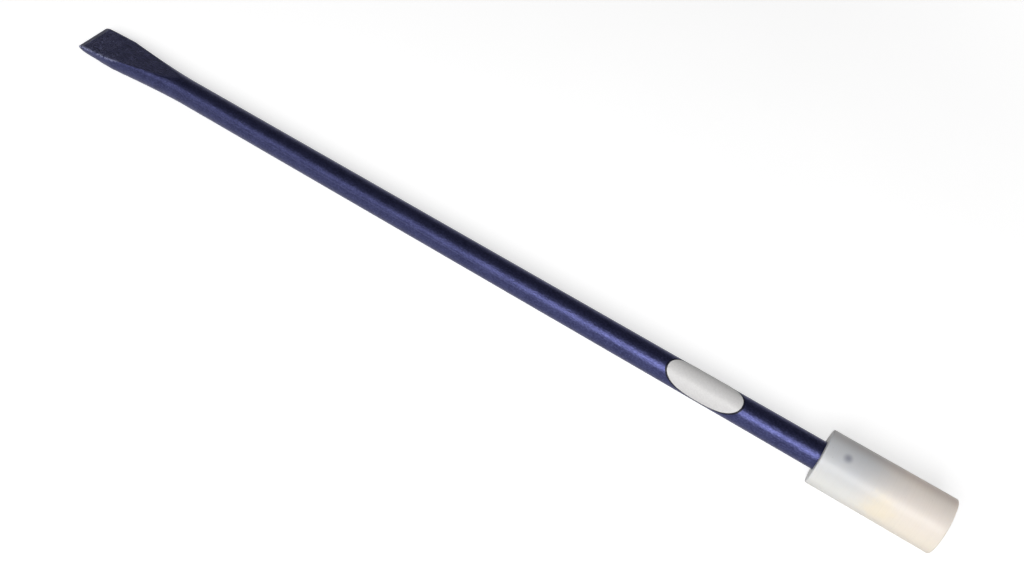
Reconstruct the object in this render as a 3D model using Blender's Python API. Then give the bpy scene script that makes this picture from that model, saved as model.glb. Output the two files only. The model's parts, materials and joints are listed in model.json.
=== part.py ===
"""A garden dibber: a round steel bar, forged at one end to a flat planting blade, with a nylon tamping cap
pinned on the other end and an oval label on its shaft.

The tool lies as it rests on level ground, blade towards -X and cap towards +X, with the blade's faces up and
down. It touches the ground under the cap's rim and under the heel where the blade's lower face begins."""

import math

import bmesh
import bpy

# Every length is in metres and every angle in degrees.
OVERALL_LENGTH = 0.900
BAR_DIAMETER = 0.025

# The forged blade. Distances are measured back along the bar from the cutting edge.
BLADE_WIDTH = 0.0376
BLADE_LENGTH = 0.042  # up to the shoulders, where the sides start to draw in
FLARE_LENGTH = 0.086  # from the shoulders to the full round bar
FLARE_POWER = 1.6  # 1 makes the flare straight, and more makes it hollow
FACE_LENGTH = 0.115  # up to where the flat faces run out on the round bar
EDGE_WIDTH = 0.0358
EDGE_THICKNESS = 0.0016
BEVEL_LENGTH = 0.006
BEVEL_THICKNESS = 0.006  # of the blade where its bevel begins

# The tamping cap and the socket that takes the bar.
CAP_DIAMETER = 0.0485
CAP_LENGTH = 0.105
CAP_CHAMFER = 0.0015
SOCKET_DEPTH = 0.070
SOCKET_CHAMFER = 0.001
BAR_END_CHAMFER = 0.002
FIT_GAP = 0.0003  # between pieces that touch on the real tool

# The slotted spring pin, driven in from below, which holds the cap on the bar.
PIN_DIAMETER = 0.005
PIN_BORE = 0.003
PIN_SLOT = 0.001
PIN_CHAMFER = 0.0005
PIN_FROM_RIM = 0.018
PIN_COVER = 0.0025  # nylon left over the pin's blind end
PIN_RECESS = 0.0012  # from the cap's lower surface up to the pin's open end
PIN_LEAN = 14  # from upright towards -Y

# The oval label, bent round the shaft.
LABEL_LENGTH = 0.068
LABEL_HEIGHT = 0.035  # measured round the bar
LABEL_THICKNESS = 0.0003
LABEL_FROM_CAP = 0.105  # from the cap's rim to the label's centre
LABEL_LEAN = 22  # from upright towards -Y

# How finely the round shapes are faceted. An odd number of facets across each face puts a facet, and not a
# corner, at the bar's lowest line.
FACE_FACETS = 3
SIDE_FACETS = 21
ROUND_FACETS = 2 * (FACE_FACETS + SIDE_FACETS)
FLARE_STEPS = 16
PIN_FACETS = 24
LABEL_FACETS = 48
LABEL_RINGS = 8
SHARP_ANGLE = 30

BAR_RADIUS = BAR_DIAMETER / 2
CAP_RADIUS = CAP_DIAMETER / 2
PIN_RADIUS = PIN_DIAMETER / 2
SOCKET_RADIUS = BAR_RADIUS + FIT_GAP
CAP_START = OVERALL_LENGTH - CAP_LENGTH
BAR_END = CAP_START + SOCKET_DEPTH - FIT_GAP
FLARE_END = BLADE_LENGTH + FLARE_LENGTH
FACET_TURN = math.tau / ROUND_FACETS
FACET_DEPTH = math.cos(FACET_TURN / 2)  # a facet's distance from the axis, as a share of the radius
WIDEST_CORNER = SIDE_FACETS * FACET_TURN / 2  # on the full round bar


def clear_scene():
    for thing in list(bpy.data.objects):
        bpy.data.objects.remove(thing, do_unlink=True)


def make_finish(name, colour, roughness, metallic=0.0):
    finish = bpy.data.materials.new(name)
    finish.use_nodes = True
    shader = finish.node_tree.nodes["Principled BSDF"]
    shader.inputs["Base Color"].default_value = (*colour, 1)
    shader.inputs["Roughness"].default_value = roughness
    shader.inputs["Metallic"].default_value = metallic
    return finish


def make_piece(name, rings, finish, parent):
    """A closed body through rings of points, with its first and last rings filled."""
    shape = bmesh.new()
    loops = [[shape.verts.new(point) for point in ring] for ring in rings]
    for near, far in zip(loops, loops[1:]):
        for i in range(len(near)):
            j = (i + 1) % len(near)
            shape.faces.new((near[i], near[j], far[j], far[i]))
    shape.faces.new(loops[0])
    shape.faces.new(loops[-1])
    bmesh.ops.recalc_face_normals(shape, faces=shape.faces)
    mesh = bpy.data.meshes.new(name)
    shape.to_mesh(mesh)
    shape.free()
    mesh.shade_smooth()
    mesh.set_sharp_from_angle(angle=math.radians(SHARP_ANGLE))
    if finish:
        mesh.materials.append(finish)
    piece = bpy.data.objects.new(name, mesh)
    piece.parent = parent
    bpy.context.scene.collection.objects.link(piece)
    return piece


def round_ring(x, radius):
    """Points round the X axis, with a facet straight up and another straight down."""
    turns = [(i + 0.5) * FACET_TURN for i in range(ROUND_FACETS)]
    return [(x, -radius * math.sin(turn), radius * math.cos(turn)) for turn in turns]


def half_width(distance):
    """Half the blade's width, in the middle of its thickness, this far behind the edge."""
    blade, edge = BLADE_WIDTH / 2, EDGE_WIDTH / 2
    if distance < BEVEL_LENGTH:
        return edge + (blade - edge) * distance / BEVEL_LENGTH
    left = min(1, max(0, (FLARE_END - distance) / FLARE_LENGTH))
    return BAR_RADIUS + (blade - BAR_RADIUS) * left**FLARE_POWER


def half_thickness(distance):
    """Half the thickness between the blade's two faces, this far behind the edge."""
    bevel, edge = BEVEL_THICKNESS / 2, EDGE_THICKNESS / 2
    if distance < BEVEL_LENGTH:
        return edge + (bevel - edge) * distance / BEVEL_LENGTH
    share = min(1, (distance - BEVEL_LENGTH) / (FACE_LENGTH - BEVEL_LENGTH))
    return bevel + (BAR_RADIUS - bevel) * share


def blade_ring(distance):
    """The outline of the bar this far behind the edge. Each side keeps the curve of the round bar, moved out
    to the blade's width, and the two flat faces cut it off above and below."""
    spread = half_width(distance) - BAR_RADIUS
    face = half_thickness(distance)
    corner = min(WIDEST_CORNER, math.asin(face / BAR_RADIUS))
    side = []
    for i in range(SIDE_FACETS + 1):
        turn = corner * (2 * i / SIDE_FACETS - 1)
        side.append((spread + BAR_RADIUS * math.cos(turn), BAR_RADIUS * math.sin(turn)))
    top = []
    for i in range(1, FACE_FACETS):
        y = side[-1][0] * (1 - 2 * i / FACE_FACETS)
        over = max(0, abs(y) - spread)
        top.append((y, min(face, math.sqrt(BAR_RADIUS**2 - over**2))))
    half = side + top
    return [(distance, y, z) for y, z in half] + [(distance, -y, -z) for y, z in half]


def blade_stations():
    """Where the bar's outline is drawn, as distances behind the edge. They crowd together near the end of the
    faces, which narrow fastest there."""
    stations = {0, BEVEL_LENGTH, BLADE_LENGTH, FACE_LENGTH, FLARE_END}
    for i in range(1, FLARE_STEPS):
        share = 1 - (1 - i / FLARE_STEPS) ** 2
        stations.add(BLADE_LENGTH + (FACE_LENGTH - BLADE_LENGTH) * share)
    return sorted(stations)


def make_bar(parent):
    finish = make_finish("navy lacquered steel", (0.026, 0.026, 0.075), 0.42)
    rings = [blade_ring(distance) for distance in blade_stations()]
    end = blade_ring(BAR_END)
    rings.append([(BAR_END - BAR_END_CHAMFER, y, z) for _, y, z in end])
    inside = 1 - BAR_END_CHAMFER / BAR_RADIUS
    rings.append([(BAR_END, y * inside, z * inside) for _, y, z in end])
    return make_piece("bar_with_blade", rings, finish, parent)


def make_cap(parent):
    finish = make_finish("natural nylon", (0.80, 0.78, 0.72), 0.45)
    profile = (
        (SOCKET_DEPTH, SOCKET_RADIUS),
        (SOCKET_CHAMFER, SOCKET_RADIUS),
        (0, SOCKET_RADIUS + SOCKET_CHAMFER),
        (0, CAP_RADIUS - CAP_CHAMFER),
        (CAP_CHAMFER, CAP_RADIUS),
        (CAP_LENGTH - CAP_CHAMFER, CAP_RADIUS),
        (CAP_LENGTH, CAP_RADIUS - CAP_CHAMFER),
    )
    cap = make_piece("tamping_cap", [round_ring(x, radius) for x, radius in profile], finish, parent)
    cap.location.x = CAP_START
    return cap


def pin_ring(height, radius):
    """The C-shaped outline of the spring pin at this height, with its slot on the +X side."""
    ring = []
    for r, way in ((radius, 1), (PIN_BORE / 2, -1)):
        lip = math.asin(PIN_SLOT / 2 / r)
        for i in range(PIN_FACETS + 1):
            turn = lip + (math.tau - 2 * lip) * i / PIN_FACETS
            ring.append((r * math.cos(way * turn), r * math.sin(way * turn), height))
    return ring


def make_pin(parent):
    finish = make_finish("spring steel", (0.30, 0.30, 0.31), 0.35, 1.0)
    top = CAP_RADIUS * FACET_DEPTH - PIN_COVER - FIT_GAP
    bottom = PIN_RECESS - CAP_RADIUS * FACET_DEPTH
    rings = [
        pin_ring(bottom, PIN_RADIUS - PIN_CHAMFER),
        pin_ring(bottom + PIN_CHAMFER, PIN_RADIUS),
        pin_ring(top - PIN_CHAMFER, PIN_RADIUS),
        pin_ring(top, PIN_RADIUS - PIN_CHAMFER),
    ]
    pin = make_piece("spring_pin", rings, finish, parent)
    pin.location.x = CAP_START + PIN_FROM_RIM
    pin.rotation_euler.x = math.radians(PIN_LEAN)
    return pin


def drill_pin_hole(pieces, pin):
    """One blind hole through the cap's lower wall and the bar, stopping short of the cap's upper surface."""
    radius = PIN_RADIUS + FIT_GAP
    levels = (-CAP_RADIUS - FIT_GAP, CAP_RADIUS * FACET_DEPTH - PIN_COVER)
    turns = [i * math.tau / PIN_FACETS for i in range(PIN_FACETS)]
    rings = [[(radius * math.cos(t), radius * math.sin(t), z) for t in turns] for z in levels]
    drill = make_piece("pin_hole_cutter", rings, None, pin.parent)
    drill.location = pin.location
    drill.rotation_euler = pin.rotation_euler
    drill.hide_render = True
    drill.display_type = "WIRE"
    for piece in pieces:
        hole = piece.modifiers.new("pin hole", "BOOLEAN")
        hole.operation = "DIFFERENCE"
        hole.solver = "EXACT"
        hole.object = drill


def label_ring(share, radius):
    """An oval this share of the label's size, bent round the X axis at this radius, with its centre up."""
    ring = []
    for i in range(LABEL_FACETS):
        turn = i * math.tau / LABEL_FACETS
        along = share * LABEL_LENGTH / 2 * math.cos(turn)
        bend = share * LABEL_HEIGHT / 2 * math.sin(turn) / BAR_RADIUS
        ring.append((along, -radius * math.sin(bend), radius * math.cos(bend)))
    return ring


def make_label(parent):
    finish = make_finish("blank white label", (0.74, 0.73, 0.72), 0.35)
    inner = BAR_RADIUS + FIT_GAP
    outer = inner + LABEL_THICKNESS
    shares = [i / LABEL_RINGS for i in range(1, LABEL_RINGS + 1)]
    rings = [label_ring(share, inner) for share in shares]
    rings += [label_ring(share, outer) for share in reversed(shares)]
    label = make_piece("shaft_label", rings, finish, parent)
    label.location.x = CAP_START - LABEL_FROM_CAP
    label.rotation_euler.x = math.radians(LABEL_LEAN)
    return label


def rest_tilt():
    """The slope of the axis when the cap's rim and the lowest place on the bar both touch level ground."""
    rim_distance = CAP_START + CAP_CHAMFER
    rim_depth = CAP_RADIUS * FACET_DEPTH
    slopes = []
    for distance in blade_stations():
        depth = min(half_thickness(distance), BAR_RADIUS * FACET_DEPTH)
        slopes.append((rim_depth - depth) / (rim_distance - distance))
    return math.atan(min(slopes))


def lay_on_ground(axis, pieces):
    """Tilts the tool's axis and puts the middle of its underside at the origin."""
    axis.rotation_euler.y = -rest_tilt()
    bpy.context.view_layer.update()
    corners = [piece.matrix_world @ point.co for piece in pieces for point in piece.data.vertices]
    spans = [(min(c[i] for c in corners), max(c[i] for c in corners)) for i in range(3)]
    axis.location = (-sum(spans[0]) / 2, -sum(spans[1]) / 2, -spans[2][0])


def main():
    clear_scene()
    axis = bpy.data.objects.new("tool_axis", None)
    bpy.context.scene.collection.objects.link(axis)
    bar = make_bar(axis)
    cap = make_cap(axis)
    pin = make_pin(axis)
    label = make_label(axis)
    drill_pin_hole((bar, cap), pin)
    lay_on_ground(axis, (bar, cap, pin, label))


main()
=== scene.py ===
import json
import math

import bmesh
import bpy
from mathutils import Matrix, Vector, noise


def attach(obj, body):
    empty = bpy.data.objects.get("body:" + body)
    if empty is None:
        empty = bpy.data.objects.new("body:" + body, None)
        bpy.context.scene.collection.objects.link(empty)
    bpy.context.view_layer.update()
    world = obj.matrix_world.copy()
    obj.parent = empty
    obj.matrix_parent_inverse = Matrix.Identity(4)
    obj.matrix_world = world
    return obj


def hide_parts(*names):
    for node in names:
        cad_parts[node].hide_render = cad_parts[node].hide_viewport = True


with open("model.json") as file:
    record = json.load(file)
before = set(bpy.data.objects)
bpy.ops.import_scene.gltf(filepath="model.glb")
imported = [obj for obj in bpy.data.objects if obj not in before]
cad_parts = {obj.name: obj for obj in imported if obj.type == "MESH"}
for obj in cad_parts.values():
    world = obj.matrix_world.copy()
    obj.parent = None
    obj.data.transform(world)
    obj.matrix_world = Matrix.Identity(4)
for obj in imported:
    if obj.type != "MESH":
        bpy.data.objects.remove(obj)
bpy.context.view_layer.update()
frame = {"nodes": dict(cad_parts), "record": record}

# The tool's sizes, the same as in the frame. Every length is in metres and every angle in degrees. Distances
# along the tool are measured from the blade's edge, and angles round it from straight up towards -Y.
OVERALL_LENGTH = 0.900
BAR_RADIUS = 0.0125
BAR_END = 0.8647
BAR_END_CHAMFER = 0.002

BLADE_WIDTH = 0.0376
BLADE_LENGTH = 0.042
FLARE_LENGTH = 0.086
FLARE_POWER = 1.6
FACE_LENGTH = 0.115
EDGE_WIDTH = 0.0358
EDGE_THICKNESS = 0.0016
BEVEL_LENGTH = 0.006
BEVEL_THICKNESS = 0.006

CAP_START = 0.795
CAP_RADIUS = 0.02425
SOCKET_RADIUS = 0.0128
SOCKET_DEPTH = 0.070

PIN_X = 0.813
PIN_LEAN = 14
PIN_HOLE_RADIUS = 0.0028
PIN_HOLE_TOP = 0.0217

LABEL_X = 0.690
LABEL_LENGTH = 0.068
LABEL_HEIGHT = 0.035
LABEL_LEAN = 22

# Fine shapes that only the looks need.
EDGE_ROUND = 0.0003
RIDGE_ROUND = 0.0011
RIDGE_WEAR = 0.00022
RIDGE_WEAR_WIDTH = 0.0016
EDGE_WEAR_WIDTH = 0.0012
NICK_DEPTH = 0.00018
CRACK_WIDTH = 0.00045
CRACK_DEPTH = 0.0005
RIM_ROUND = 0.0013
SOCKET_ROUND = 0.0008
LABEL_LIFT = 0.00010
LABEL_THICKNESS = 0.00018
MARGIN_WIDTH = 0.0018
MARGIN_LIFT = 0.00003
MARGIN_THICKNESS = 0.00006

# How deep the hammer's marks are on the blade's faces, and where in the noise a pit starts.
DENT_DEPTH = 0.00022
STREAK_DEPTH = 0.00006
PIT_DEPTH = 0.0004
PIT_START = 0.32

# Shares of a whole: the thickness left where the edge is rounded off, the hammer's marks left on the bevel
# and on the blade's sides, and the wear of the edge and of three ridges beside that of the ridge used most.
EDGE_LEFT = 0.55
BEVEL_LEFT = 0.3
SIDES_LEFT = 0.25
EDGE_WEAR = 0.22
OTHER_RIDGE_WEAR = 0.35

# Where the look of each kind of surface fades out: over how long a stretch, or from where to where.
BEVEL_FADE = 0.0006
SIDES_FADE = 0.02
FORGED_FADE = 0.03
WEAR_START = BLADE_LENGTH - 0.002
WEAR_END = BLADE_LENGTH + 0.014
BEVEL_LINE_START = BEVEL_LENGTH + 0.0010
BEVEL_LINE_END = BEVEL_LENGTH + 0.0020
BEVEL_LINE_WAVES = 0.003
END_FACE_START = OVERALL_LENGTH - 0.0006
END_FACE_END = OVERALL_LENGTH - 0.0002

# The crack in the upper face, as distances from the edge and from the middle line.
CRACK = ((0.0245, -0.0133), (0.0195, -0.0117), (0.0150, -0.0124), (0.0108, -0.0130))

# The faint seam that the mill left along the bar, this far round it from level.
SEAM_TURN = 31
SEAM_WIDTH = 0.0008

# The middle of a yellowed patch on the cap's near side.
STAIN = (0.850, -0.0228, 0.0082)

# How deep each finish's grain is.
LACQUER_RELIEF = 0.00034
NYLON_RELIEF = 0.00005
FILM_RELIEF = 0.00003
MARGIN_RELIEF = 0.00002
SPRING_RELIEF = 0.00002

# How finely the surfaces are drawn.
SIDE_STEPS = 28
FACE_STEPS = 56
WIDEST_CORNER = 83
BLADE_PITCH = 0.0005
FLARE_PITCH = 0.0009
SHAFT_PITCH = 0.005
CAP_STEPS = 144
CAP_RINGS = 36
CORNER_STEPS = 5
END_RINGS = (0.75, 0.5, 0.25, 0.03)
HOLE_STEPS = 48
LABEL_STEPS = 160
LABEL_RINGS = 16

FLARE_END = BLADE_LENGTH + FLARE_LENGTH

# The lacquer's colours. Every colour is linear red, green and blue, with an alpha.
NAVY_DARK = (0.038, 0.042, 0.110, 1)
NAVY_LIGHT = (0.052, 0.057, 0.142, 1)
NAVY_GLINT = (0.100, 0.108, 0.255, 1)
NAVY_SPECK = (0.22, 0.24, 0.46, 1)
FACE_DARK = (0.030, 0.032, 0.074, 1)
FACE_LIGHT = (0.084, 0.088, 0.195, 1)
FACE_FLECK = (0.28, 0.29, 0.50, 1)
BEVEL_DARK = (0.040, 0.042, 0.068, 1)
SEAM_PALE = (0.20, 0.21, 0.42, 1)
BARE_STEEL = (0.38, 0.40, 0.62, 1)
CRACK_BLACK = (0.006, 0.006, 0.012, 1)

# The nylon's colours over the bar and in the solid end: on its near side, and on top and on its far side,
# where darker copies are painted shade.
NEAR_OVER_BAR = (0.80, 0.80, 0.775, 1)
NEAR_SOLID = (0.89, 0.81, 0.70, 1)
SHADED_TOP_OVER_BAR = (0.60, 0.61, 0.63, 1)
SHADED_TOP_SOLID = (0.86, 0.785, 0.72, 1)
SHADED_FAR_OVER_BAR = (0.36, 0.29, 0.24, 1)
SHADED_FAR_SOLID = (0.64, 0.46, 0.36, 1)

# The nylon's marks, and the painted shade on its underside and its end face.
SHADED_UNDERSIDE = (0.62, 0.59, 0.53, 1)
PIN_SHADOW = (0.19, 0.20, 0.27, 1)
DARK_SPECK = (0.22, 0.17, 0.12, 1)
YELLOWED = (0.93, 0.82, 0.62, 1)
TURNED_LINE = (0.55, 0.50, 0.44, 1)
END_GRIME_AND_SHADE = (0.42, 0.36, 0.34, 1)
KNOCK_GRIME = (0.40, 0.36, 0.31, 1)

# The other finishes' darkest and lightest colours.
FILM_DARK = (0.675, 0.665, 0.66, 1)
FILM_LIGHT = (0.715, 0.705, 0.70, 1)
# The label margin's colours are painted shade along the label's edge.
MARGIN_SHADE_DARK = (0.008, 0.008, 0.020, 1)
MARGIN_SHADE_LIGHT = (0.013, 0.013, 0.030, 1)
SPRING_DARK = (0.16, 0.16, 0.17, 1)
SPRING_LIGHT = (0.30, 0.30, 0.31, 1)

# Greys of the studio: the floor as it lights the tool, what the camera sees added to it near and far off, and
# the world round the walls and overhead.
FLOOR_DARK = 0.60
FLOOR_LIGHT = 0.64
LIFT_NEAR = 0.66
LIFT_FAR = 0.98
LIFT_IN_GLOSS = 0.75
WALLS = 0.42
OVERHEAD = 0.09
FLOOR_REACH = 12

# The lamps: name, place, the place it faces, width, height and watts.
LAMPS = (
    ("key", (0.25, -1.35, 1.10), (0, 0, 0), 1.1, 0.65, 24),
    ("blade_side", (-1.25, -1.15, 0.95), (-0.3, 0, 0), 0.8, 0.6, 4),
    ("low_fill", (1.9, 0.9, 0.4), (0, 0, 0), 0.9, 0.5, 13),
)

# The camera, which looks down at the target from in front of the tool.
CAMERA_AZIMUTH = 22.7
CAMERA_ELEVATION = 51.5
CAMERA_ROLL = 12.5
CAMERA_DISTANCE = 0.905
CAMERA_TARGET = (0.052, 0.0, 0.008)
CAMERA_LENS = 36


# ---------------------------------------------------------------- shader maths

class Wire:
    """The output of a shader node. Arithmetic on wires adds Math nodes to their tree."""

    def __init__(self, tree, socket=None):
        self.tree = tree
        self.socket = socket

    def node(self, kind, settings, sockets, output=0):
        """Adds a node of this kind, with its settings made first and then its sockets set or linked."""
        made = self.tree.nodes.new(kind)
        for name, value in settings.items():
            setattr(made, name, value)
        for name, value in sockets.items():
            if isinstance(value, Wire):
                self.tree.links.new(value.socket, made.inputs[name])
            else:
                made.inputs[name].default_value = value
        return Wire(self.tree, made.outputs[output])

    def math(self, operation, first, second=0.0, clamped=False):
        settings = {"operation": operation, "use_clamp": clamped}
        return self.node("ShaderNodeMath", settings, {0: first, 1: second})

    def __add__(self, other):
        return self.math("ADD", self, other)

    def __sub__(self, other):
        return self.math("SUBTRACT", self, other)

    def __rsub__(self, other):
        return self.math("SUBTRACT", other, self)

    def __mul__(self, other):
        return self.math("MULTIPLY", self, other)

    __radd__ = __add__
    __rmul__ = __mul__

    def limited(self):
        """This wire, kept between 0 and 1."""
        return self.math("ADD", self, 0.0, clamped=True)

    def ramp(self, low, high, start=0.0, end=1.0):
        """Goes smoothly from start to end while this wire goes from low to high."""
        ends = {"Value": self, "From Min": low, "From Max": high, "To Min": start, "To Max": end}
        return self.node("ShaderNodeMapRange", {"interpolation_type": "SMOOTHSTEP"}, ends)

    def blend(self, first, second):
        """The first colour where this wire is 0 and the second where it is 1."""
        return self.node("ShaderNodeMix", {"data_type": "RGBA"}, {0: self, 6: first, 7: second}, 2)

    def stretched(self, *scales):
        return self.node("ShaderNodeVectorMath", {"operation": "MULTIPLY"}, {0: self, 1: scales})

    def away_from(self, point):
        """The distance between this place and a point."""
        return self.node("ShaderNodeVectorMath", {"operation": "DISTANCE"}, {0: self, 1: point}, 1)

    def away_from_plane(self, *facing):
        """The distance between this place and a plane through the origin that faces this way."""
        height = self.node("ShaderNodeVectorMath", {"operation": "DOT_PRODUCT"}, {0: self, 1: facing}, 1)
        return self.math("ABSOLUTE", height)

    def lathe(self):
        """This place as (x, distance from the tool's axis), so that noise there goes in turned rings."""
        radius = self.stretched(0, 1, 1).away_from((0, 0, 0))
        return self.node("ShaderNodeCombineXYZ", {}, {0: self.part(0), 1: radius})

    def part(self, axis):
        """One coordinate of this place: 0 for x, 1 for y, 2 for z."""
        return self.node("ShaderNodeSeparateXYZ", {}, {0: self}, axis)

    def cloud(self, scale, detail=2.0, roughness=0.5):
        """Soft noise of about 0.3 to 0.7 at this place, with this many blobs to the metre."""
        sockets = {"Vector": self, "Scale": scale, "Detail": detail, "Roughness": roughness}
        return self.node("ShaderNodeTexNoise", {}, sockets)

    def cells(self, scale):
        """The distance to the nearest of many scattered points, with this many of them to the metre."""
        return self.node("ShaderNodeTexVoronoi", {}, {"Vector": self, "Scale": scale})

    def bumped(self, depth):
        """The normal of a surface whose height goes up by this depth while this wire goes from 0 to 1."""
        return self.node("ShaderNodeBump", {}, {"Height": self, "Distance": depth})


def new_finish(name, **fixed):
    """A material, its place wire and its shader, with the fixed values on the shader's own sockets."""
    finish = bpy.data.materials.new(name)
    finish.use_nodes = True
    shader = finish.node_tree.nodes["Principled BSDF"]
    for socket, value in fixed.items():
        shader.inputs[socket.replace("_", " ")].default_value = value
    place = Wire(finish.node_tree).node("ShaderNodeTexCoord", {}, {}, "Object")
    return finish, place, shader


def wire_up(shader, **wires):
    """Links wires to the shader's sockets. An underscore in a name stands for a space."""
    for name, wire in wires.items():
        wire.tree.links.new(wire.socket, shader.inputs[name.replace("_", " ")])


def grey(tone):
    return (tone, tone, tone, 1)


def mesh_mark(place, name):
    """The number that the mesh keeps for each of its points under this name."""
    return place.node("ShaderNodeAttribute", {"attribute_name": name}, {}, "Fac")


# ---------------------------------------------------------------- finishes

def lacquered_steel():
    """Dark navy lacquer on forged steel: grain in the gloss, scaly faces on the blade and worn ridges."""
    finish, place, shader = new_finish("navy_lacquered_steel")
    forged = mesh_mark(place, "forged")
    worn = mesh_mark(place, "worn")
    crack = mesh_mark(place, "crack")

    along = place.part(0)
    wavy = along + place.cloud(220, 3) * BEVEL_LINE_WAVES
    bevel = wavy.ramp(BEVEL_LINE_START, BEVEL_LINE_END, 1.0, 0.0)
    mottle = place.cloud(75, 3)
    grain = place.cloud(1300, 2, 0.6)
    peel = place.stretched(0.5, 1, 1).cloud(480, 3, 0.6)
    specks = place.cells(240).ramp(0.05, 0.13, 1.0, 0.0) * place.cloud(60, 1).ramp(0.50, 0.62)
    streaks = place.stretched(0.10, 1, 1).cloud(1300, 4, 0.7)
    scale_flecks = place.stretched(0.45, 1, 1).cloud(1250, 4, 0.7)
    clusters = place.cloud(110, 2).ramp(0.36, 0.60, 0.20, 1.0) * along.ramp(0.02, 0.09, 1.0, 0.45)
    face = (forged * (1 - bevel)).limited()
    flecks = scale_flecks.ramp(0.50, 0.68) * clusters * face
    glints = place.stretched(0.6, 1, 1).cloud(850, 3, 0.7).ramp(0.42, 0.64)
    seam_turn = math.radians(SEAM_TURN)
    seam_plane = place.away_from_plane(0, math.sin(seam_turn), math.cos(seam_turn))
    seam_reach = along.ramp(FACE_LENGTH, FLARE_END + 0.02) * along.ramp(0.40, 0.62, 1.0, 0.0)
    seam = seam_plane.ramp(0.0, SEAM_WIDTH, 1.0, 0.0) * seam_reach

    plain = mottle.ramp(0.3, 0.7).blend(NAVY_DARK, NAVY_LIGHT)
    plain = (glints * 0.5).blend(plain, NAVY_GLINT)
    rough_face = streaks.ramp(0.36, 0.66).blend(FACE_DARK, FACE_LIGHT)
    colour = face.blend(plain, rough_face)
    colour = (bevel * 0.6).blend(colour, BEVEL_DARK)
    colour = (flecks * 0.85).blend(colour, FACE_FLECK)
    colour = (specks * 0.6).blend(colour, NAVY_SPECK)
    colour = (seam * 0.16).blend(colour, SEAM_PALE)
    bare = (worn * place.cloud(380, 4, 0.65).ramp(0.40, 0.60) * 1.2).limited()
    colour = bare.blend(colour, BARE_STEEL)
    colour = crack.blend(colour, CRACK_BLACK)
    height = grain * 0.35 + peel * 0.65 + face * streaks * 0.7 + flecks * 0.3 + seam * 0.1
    wire_up(
        shader,
        Base_Color=colour,
        Roughness=0.32 + grain * 0.10 + peel * 0.06 + face * 0.14 - bare * 0.08,
        Metallic=0.94 - face * 0.16,
        Normal=height.bumped(LACQUER_RELIEF),
    )
    return finish


def natural_nylon():
    """Turned natural nylon: milky, cool and grey where the bar is inside, and warm in the solid end."""
    finish, place, shader = new_finish(
        "natural_nylon",
        Subsurface_Weight=0.14,
        Subsurface_Radius=(1.0, 0.85, 0.65),
        Subsurface_Scale=0.006,
        IOR=1.53,
    )
    lean = math.radians(PIN_LEAN)
    over_pin = (PIN_X, -CAP_RADIUS * math.sin(lean), CAP_RADIUS * math.cos(lean))
    cloudy = place.cloud(38, 2)
    along = place.part(0) + (cloudy - 0.5) * 0.035
    warmth = along.ramp(CAP_START + 0.02, CAP_START + 0.080)
    near_side = warmth.blend(NEAR_OVER_BAR, NEAR_SOLID)
    shaded_top = warmth.blend(SHADED_TOP_OVER_BAR, SHADED_TOP_SOLID)
    shaded_far_side = warmth.blend(SHADED_FAR_OVER_BAR, SHADED_FAR_SOLID)
    # Painted shade: the cap is darker towards its top.
    colour = place.part(2).ramp(0, CAP_RADIUS).blend(near_side, shaded_top)
    # Painted shade: the cap is darker towards its bottom.
    colour = place.part(2).ramp(-CAP_RADIUS * 0.7, 0, 0.35, 0.0).blend(colour, SHADED_UNDERSIDE)
    # Painted shade: the cap is darker on its far side, turned away from the lamps.
    colour = place.part(1).ramp(0, CAP_RADIUS * 0.5, 0.0, 0.28).blend(colour, shaded_far_side)

    shadow = place.away_from(over_pin) + (cloudy - 0.5) * 0.003
    colour = shadow.ramp(0.0002, 0.0054, 0.70, 0.0).blend(colour, PIN_SHADOW)
    near_rim = place.part(0).ramp(CAP_START + 0.012, CAP_START + 0.05, 1.0, 0.2)
    specks = place.cells(250).ramp(0.06, 0.12, 1.0, 0.0) * place.cloud(210, 1).ramp(0.55, 0.66) * near_rim
    colour = (specks * 0.7).blend(colour, DARK_SPECK)
    stain = place.away_from(STAIN) + (place.cloud(160, 3) - 0.5) * 0.016
    colour = stain.ramp(0.003, 0.020, 0.55, 0.0).blend(colour, YELLOWED)

    turning = place.lathe().cloud(1800, 3, 0.6)
    scuffs = place.stretched(0.3, 1, 1).cloud(600, 4, 0.6)
    end_face = place.part(0).ramp(END_FACE_START, END_FACE_END)
    knocks = place.cloud(420, 4, 0.7).ramp(0.56, 0.68) * end_face
    colour = (turning.ramp(0.45, 0.75) * (0.10 + end_face * 0.16)).blend(colour, TURNED_LINE)
    # The end face is darker: grime from tamping, and partly painted shade.
    colour = (end_face * 0.22).blend(colour, END_GRIME_AND_SHADE)
    colour = (knocks * 0.35).blend(colour, KNOCK_GRIME)
    wire_up(
        shader,
        Base_Color=colour,
        Roughness=0.31 + turning * 0.10 + scuffs * 0.14,
        Normal=(turning * (0.6 + end_face * 2) + scuffs * 0.4 - knocks * 1.5).bumped(NYLON_RELIEF),
    )
    return finish


def label_film():
    """Blank off-white vinyl film with a faint orange peel."""
    finish, place, shader = new_finish("blank_label_film", IOR=1.45)
    peel = place.cloud(1300, 2)
    toned = place.cloud(700, 3).ramp(0.35, 0.65).blend(FILM_DARK, FILM_LIGHT)
    wire_up(shader, Base_Color=toned, Roughness=0.40 + peel * 0.12, Normal=peel.bumped(FILM_RELIEF))
    return finish


def label_margin_shade():
    """The label's margin, darker and smoother than the lacquer: a dark ring of painted shade along the
    label's edge.
    """
    finish, place, shader = new_finish("label_edge_painted_shade", IOR=1.45, Specular_IOR_Level=0.25)
    peel = place.cloud(900, 2)
    toned = peel.ramp(0.3, 0.7).blend(MARGIN_SHADE_DARK, MARGIN_SHADE_LIGHT)
    wire_up(shader, Base_Color=toned, Roughness=0.40 + peel * 0.10, Normal=peel.bumped(MARGIN_RELIEF))
    return finish


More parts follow.
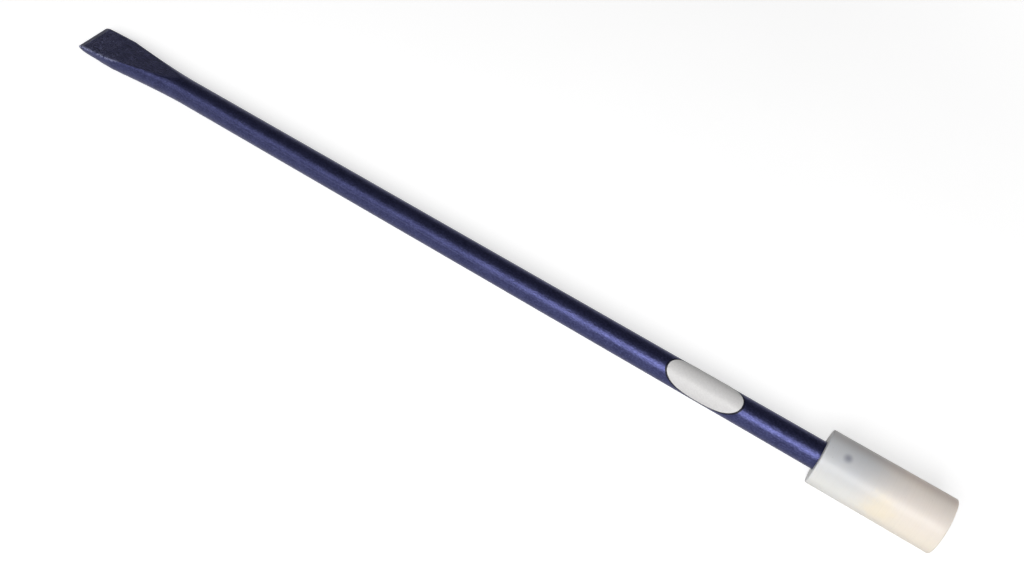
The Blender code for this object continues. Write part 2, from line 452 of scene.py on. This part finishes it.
def spring_steel():
    """Dark oiled spring steel, drawn lengthwise."""
    finish, place, shader = new_finish("oiled_spring_steel", Metallic=1.0)
    drawn = place.stretched(1, 1, 0.1).cloud(2200, 3)
    colour = drawn.ramp(0.3, 0.7).blend(SPRING_DARK, SPRING_LIGHT)
    wire_up(shader, Base_Color=colour, Roughness=0.28 + drawn * 0.2, Normal=drawn.bumped(SPRING_RELIEF))
    return finish


def ray_is(start, kind):
    """1 where the ray is of this kind, and 0 elsewhere."""
    return start.node("ShaderNodeLightPath", {}, {}, f"Is {kind} Ray")


def seen_by_camera(start):
    """1 for what the camera sees straight, less in a gloss or through glass, and 0 for what only lights."""
    indirect = ray_is(start, "Glossy") + ray_is(start, "Transmission")
    return (ray_is(start, "Camera") + indirect * LIFT_IN_GLOSS).limited()


def pale_floor():
    """Matt white board. What the camera sees of it, straight or in a reflection, is lifted to near white."""
    finish, place, shader = new_finish("pale_floor", Roughness=0.9, Specular_IOR_Level=0.1)
    tone = place.cloud(6, 2).blend(grey(FLOOR_DARK), grey(FLOOR_LIGHT))
    seen = seen_by_camera(place)
    far_off = place.away_from((0, 0, 0)).ramp(0.5, 1.8)
    lift = far_off.blend(grey(LIFT_NEAR), grey(LIFT_FAR))
    shader.inputs["Emission Strength"].default_value = 1.0
    wire_up(shader, Base_Color=tone, Emission_Color=seen.blend(grey(0), lift))
    return finish


# ---------------------------------------------------------------- making pieces

def tool_placement():
    """The tool's own frame: x along the bar from the blade's edge, y across and z out of the upper face."""
    end = next(mount for mount in frame["record"]["mounts"] if mount["name"] == "cap_end_face")
    along = Vector(end["axis"]).normalized()
    across = Vector((0, 1, 0))
    place = Matrix((along, across, along.cross(across))).transposed().to_4x4()
    place.translation = Vector(end["pos_m"]) - along * OVERALL_LENGTH
    return place


TOOL = tool_placement()


def put_in_scene(thing):
    bpy.context.scene.collection.objects.link(thing)
    return thing


def shell(name, rings, marks=None):
    """A closed piece in the tool's frame, through rings of points, with its first and last rings filled. The
    marks are lists with a number for each point, kept on the mesh under their names."""
    count = len(rings[0])
    faces = []
    for start in range(0, count * (len(rings) - 1), count):
        for i in range(count):
            j = (i + 1) % count
            faces.append((start + i, start + j, start + count + j, start + count + i))
    last = count * (len(rings) - 1)
    faces.append(range(count))
    faces.append(range(last, last + count))
    mesh = bpy.data.meshes.new(name)
    mesh.from_pydata([point for ring in rings for point in ring], [], faces)
    for mark, values in (marks or {}).items():
        mesh.attributes.new(mark, "FLOAT", "POINT").data.foreach_set("value", values)
    shape = bmesh.new()
    shape.from_mesh(mesh)
    bmesh.ops.recalc_face_normals(shape, faces=shape.faces)
    shape.to_mesh(mesh)
    shape.free()
    piece = put_in_scene(bpy.data.objects.new(name, mesh))
    piece.matrix_world = TOOL
    return piece


def finished(piece, finish, slot, *nodes, sharp=35):
    """Gives the piece its finish, rides it on the tool and hides the nodes that it stands for."""
    piece.data.materials.append(finish)
    piece.data.shade_smooth()
    piece.data.set_sharp_from_angle(angle=math.radians(sharp))
    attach(piece, "root")
    if nodes:
        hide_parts(*nodes)


def drill(piece, rings):
    """Cuts the shape through these rings out of the piece."""
    tool = shell("drill", rings)
    cut = piece.modifiers.new("cut", "BOOLEAN")
    cut.object = tool
    bpy.context.view_layer.update()
    cut_piece = piece.evaluated_get(bpy.context.evaluated_depsgraph_get())
    piece.data = bpy.data.meshes.new_from_object(cut_piece)
    piece.modifiers.clear()
    bpy.data.objects.remove(tool, do_unlink=True)


def pin_hole_rings():
    """The blind hole for the pin, from below the cap up to a little under its upper surface."""
    lean = Matrix.Rotation(math.radians(PIN_LEAN), 3, "X")
    turns = [i * math.tau / HOLE_STEPS for i in range(HOLE_STEPS)]
    rings = []
    for z in (-CAP_RADIUS * 1.1, PIN_HOLE_TOP):
        circle = [Vector((PIN_HOLE_RADIUS * math.cos(t), PIN_HOLE_RADIUS * math.sin(t), z)) for t in turns]
        rings.append([Vector((PIN_X, 0, 0)) + lean @ point for point in circle])
    return rings


def share_of(value, low, high):
    """How far the value is from low towards high, kept between 0 and 1."""
    return min(1.0, max(0.0, (value - low) / (high - low)))


def eased(share):
    """Goes from 0 to 1 as the share does, slowly near both ends, so that points crowd at the corners."""
    return (1 - math.cos(math.pi * share)) / 2


def hump(distance, width):
    """1 at no distance, and next to nothing from twice the width on."""
    return math.exp(-((distance / width) ** 2))


# ---------------------------------------------------------------- bar with its forged blade

def half_width(x):
    """Half the blade's width, in the middle of its thickness, with its corners rounded off at the edge."""
    blade, edge = BLADE_WIDTH / 2, EDGE_WIDTH / 2
    if x < BEVEL_LENGTH:
        return blade - (blade - edge) * (1 - x / BEVEL_LENGTH) ** 2
    return BAR_RADIUS + (blade - BAR_RADIUS) * share_of(x, FLARE_END, BLADE_LENGTH) ** FLARE_POWER


def half_thickness(x):
    """Half the thickness between the blade's two faces, with the edge itself rounded."""
    bevel, edge = BEVEL_THICKNESS / 2, EDGE_THICKNESS / 2
    if x < BEVEL_LENGTH:
        round_off = EDGE_LEFT + (1 - EDGE_LEFT) * share_of(x, 0, EDGE_ROUND)
        return (edge + (bevel - edge) * x / BEVEL_LENGTH) * round_off
    return bevel + (BAR_RADIUS - bevel) * share_of(x, BEVEL_LENGTH, FACE_LENGTH)


def half_outline(x):
    """Points round half of the bar, up its +Y side and then across its upper face. Each is (y, z, outward y,
    outward z, distance from the nearest ridge, 1 on the flat face and 0 beside it)."""
    spread = half_width(x) - BAR_RADIUS
    face = half_thickness(x)
    corner = min(math.radians(WIDEST_CORNER), math.asin(face / BAR_RADIUS))
    points = []
    for i in range(SIDE_STEPS + 1):
        turn = corner * (2 * eased(i / SIDE_STEPS) - 1)
        out_y, out_z = math.cos(turn), math.sin(turn)
        ridge = BAR_RADIUS * (corner - abs(turn))
        points.append((spread + BAR_RADIUS * out_y, BAR_RADIUS * out_z, out_y, out_z, ridge, 0.0))
    reach = points[-1][0]
    for i in range(1, FACE_STEPS):
        y = reach * (1 - 2 * eased(i / FACE_STEPS))
        over = max(0.0, abs(y) - spread)
        crown = math.sqrt(BAR_RADIUS**2 - over**2)
        points.append((y, min(face, crown), 0.0, 1.0, reach - abs(y), float(face < crown)))
    return points


def bar_stations():
    """Where the bar's outline is drawn: close together on the blade and wider apart on the shaft."""
    stations = [0.0, EDGE_ROUND * 0.4, EDGE_ROUND]
    runs = (
        (BLADE_LENGTH, BLADE_PITCH),
        (FLARE_END, FLARE_PITCH),
        (BAR_END - BAR_END_CHAMFER, SHAFT_PITCH),
    )
    for end, pitch in runs:
        start = stations[-1]
        steps = round((end - start) / pitch)
        stations += [start + (end - start) * (i + 1) / steps for i in range(steps)]
    return stations


def away_from_crack(x, y):
    """The distance from a place on the upper face to the crack's nearest run."""
    distances = []
    for (x1, y1), (x2, y2) in zip(CRACK, CRACK[1:]):
        run = Vector((x2 - x1, y2 - y1))
        place = Vector((x - x1, y - y1))
        share = min(1.0, max(0.0, place.dot(run) / run.length_squared))
        distances.append((place - run * share).length)
    return min(distances)


def hammered(x, y, z):
    """How far the hammer left this place of a blade face above its true plane."""
    dents = noise.noise(Vector((x, y, z)) * 95) * DENT_DEPTH
    streaks = noise.noise(Vector((x * 130, y * 900, z * 300))) * STREAK_DEPTH
    pits = max(0.0, noise.noise(Vector((x * 420, y * 700, z * 500))) - PIT_START) * PIT_DEPTH
    return dents + streaks - pits


def build_bar(finish):
    """The bar and its blade as one forging, with hammered faces, worn ridges and a crack near the edge."""
    rings = []
    marks = {"forged": [], "worn": [], "crack": []}
    for x in bar_stations():
        on_bevel = share_of(x, BEVEL_LENGTH + BEVEL_FADE, BEVEL_LENGTH)
        near_blade = share_of(x, FACE_LENGTH + SIDES_FADE / 2, FACE_LENGTH - SIDES_FADE / 2)
        fading = share_of(x, FLARE_END, FLARE_END - FORGED_FADE)
        on_blade = share_of(x, WEAR_END, WEAR_START)
        outline = half_outline(x)
        ring = []
        for side in (1, -1):
            for y, z, out_y, out_z, ridge, face in outline:
                y, z, out_y, out_z = y * side, z * side, out_y * side, out_z * side
                crack = 0.0
                if face and z > 0 and x > BEVEL_LENGTH * 0.8:
                    crack = hump(away_from_crack(x, y), CRACK_WIDTH)
                at_ridge = hump(ridge, RIDGE_ROUND)
                nicks = noise.noise(Vector((x * 160, side, 4))) * NICK_DEPTH - RIDGE_WEAR
                on_face = face * (1 - (1 - BEVEL_LEFT) * on_bevel)
                rough = on_face + SIDES_LEFT * (1 - face) * near_blade
                lift = hammered(x, y, z) * rough + nicks * at_ridge * near_blade - CRACK_DEPTH * crack
                ring.append((x, y + out_y * lift, z + out_z * lift))
                used = 1.0 if y < 0 < z else OTHER_RIDGE_WEAR
                wear = hump(ridge, RIDGE_WEAR_WIDTH) * on_blade * used + EDGE_WEAR * hump(x, EDGE_WEAR_WIDTH)
                marks["forged"].append(face * fading)
                marks["worn"].append(min(1.0, wear))
                marks["crack"].append(crack)
        rings.append(ring)
    narrowing = 1 - BAR_END_CHAMFER / BAR_RADIUS
    rings.append([(BAR_END, y * narrowing, z * narrowing) for _, y, z in rings[-1]])
    for values in marks.values():
        values += [0.0] * len(rings[-1])
    bar = shell("forged_bar", rings, marks)
    drill(bar, pin_hole_rings())
    finished(bar, finish, "lacquered_steel", "bar_with_blade", sharp=50)


# ---------------------------------------------------------------- tamping cap

def corner_arc(x, radius, size, start, turn):
    """A quarter circle of the cap's section, from this angle on, about this place."""
    angles = [math.radians(start + turn * i / CORNER_STEPS) for i in range(CORNER_STEPS + 1)]
    return [(x + size * math.cos(angle), radius + size * math.sin(angle)) for angle in angles]


def cap_section():
    """The cap's section: out of its socket, round the rim, along the side and in across the end face."""
    first, last = CAP_START + RIM_ROUND, OVERALL_LENGTH - RIM_ROUND
    side = [(first + (last - first) * i / CAP_RINGS, CAP_RADIUS) for i in range(1, CAP_RINGS)]
    return (
        [(CAP_START + SOCKET_DEPTH, SOCKET_RADIUS)]
        + corner_arc(CAP_START + SOCKET_ROUND, SOCKET_RADIUS + SOCKET_ROUND, SOCKET_ROUND, 270, -90)
        + corner_arc(first, CAP_RADIUS - RIM_ROUND, RIM_ROUND, 180, -90)
        + side
        + corner_arc(last, CAP_RADIUS - RIM_ROUND, RIM_ROUND, 90, -90)
        + [(OVERALL_LENGTH, CAP_RADIUS * share) for share in END_RINGS]
    )


def turned_ring(x, radius):
    turns = [i * math.tau / CAP_STEPS for i in range(CAP_STEPS)]
    return [(x, -radius * math.sin(turn), radius * math.cos(turn)) for turn in turns]


def build_cap(finish):
    """The turned cap, with a blind socket for the bar and the hole for its pin."""
    cap = shell("nylon_cap", [turned_ring(x, radius) for x, radius in cap_section()])
    drill(cap, pin_hole_rings())
    finished(cap, finish, "natural_nylon", "tamping_cap")


# ---------------------------------------------------------------- label

def oval(share, extra, lift):
    """An oval bent round the bar, at this share of the label's size, with this much extra all round it."""
    radius = BAR_RADIUS + lift
    ring = []
    for i in range(LABEL_STEPS):
        turn = i * math.tau / LABEL_STEPS
        along = share * (LABEL_LENGTH / 2 + extra) * math.cos(turn)
        bend = math.radians(LABEL_LEAN) + share * (LABEL_HEIGHT / 2 + extra) * math.sin(turn) / BAR_RADIUS
        ring.append((LABEL_X + along, -radius * math.sin(bend), radius * math.cos(bend)))
    return ring


def build_film(name, finish, extra, lift, thickness, *nodes):
    """An oval film on the bar, this much larger all round than the label."""
    shares = [(i + 1) / LABEL_RINGS for i in range(LABEL_RINGS)]
    rings = [oval(share, extra, lift) for share in shares]
    rings += [oval(share, extra, lift + thickness) for share in reversed(shares)]
    finished(shell(name, rings), finish, "blank_label", *nodes)


# ---------------------------------------------------------------- floor, light and camera

def build_floor(finish):
    mesh = bpy.data.meshes.new("floor")
    corners = [(x * FLOOR_REACH, y * FLOOR_REACH, 0) for x, y in ((-1, -1), (1, -1), (1, 1), (-1, 1))]
    mesh.from_pydata(corners, [], [(0, 1, 2, 3)])
    mesh.materials.append(finish)
    put_in_scene(bpy.data.objects.new("floor", mesh))


def build_world():
    """A dim studio, darker overhead than round its walls, which the camera sees as white."""
    world = bpy.data.worlds.new("studio")
    bpy.context.scene.world = world
    world.use_nodes = True
    back = world.node_tree.nodes["Background"]
    start = Wire(world.node_tree)
    height = start.node("ShaderNodeTexCoord", {}, {}, "Generated").part(2)
    studio = height.ramp(0.12, 0.50).blend(grey(WALLS), grey(OVERHEAD))
    wire_up(back, Color=ray_is(start, "Camera").blend(studio, grey(1)))


def softbox(name, place, target, width, height, watts):
    lamp = bpy.data.lights.new(name, "AREA")
    lamp.shape = "RECTANGLE"
    lamp.size = width
    lamp.size_y = height
    lamp.energy = watts
    holder = put_in_scene(bpy.data.objects.new(name, lamp))
    holder.location = place
    holder.rotation_euler = (Vector(target) - Vector(place)).to_track_quat("-Z", "Y").to_euler()
    holder.visible_camera = False


def build_camera():
    """A camera that looks down at the tool from in front, turned so that the tool lies across the picture."""
    around, above = math.radians(CAMERA_AZIMUTH), math.radians(CAMERA_ELEVATION)
    level = math.cos(above)
    back = Vector((math.sin(around) * level, -math.cos(around) * level, math.sin(above)))
    camera = bpy.data.cameras.new("camera")
    camera.lens = CAMERA_LENS
    holder = put_in_scene(bpy.data.objects.new("camera", camera))
    roll = Matrix.Rotation(math.radians(CAMERA_ROLL), 3, "Z")
    turned = back.to_track_quat("Z", "Y").to_matrix() @ roll
    holder.matrix_world = Matrix.Translation(Vector(CAMERA_TARGET) + back * CAMERA_DISTANCE) @ turned.to_4x4()
    bpy.context.scene.camera = holder


def build_tool():
    build_bar(lacquered_steel())
    build_cap(natural_nylon())
    build_film("label_margin_shade", label_margin_shade(), MARGIN_WIDTH, MARGIN_LIFT, MARGIN_THICKNESS)
    build_film("blank_label", label_film(), 0, LABEL_LIFT, LABEL_THICKNESS, "shaft_label")
    pin = frame["nodes"]["spring_pin"]
    pin.data.materials.clear()
    pin.data.materials.append(spring_steel())


def build_studio():
    build_floor(pale_floor())
    build_world()
    for lamp in LAMPS:
        softbox(*lamp)
    bpy.context.scene.view_settings.view_transform = "Standard"


build_camera()
build_tool()
build_studio()
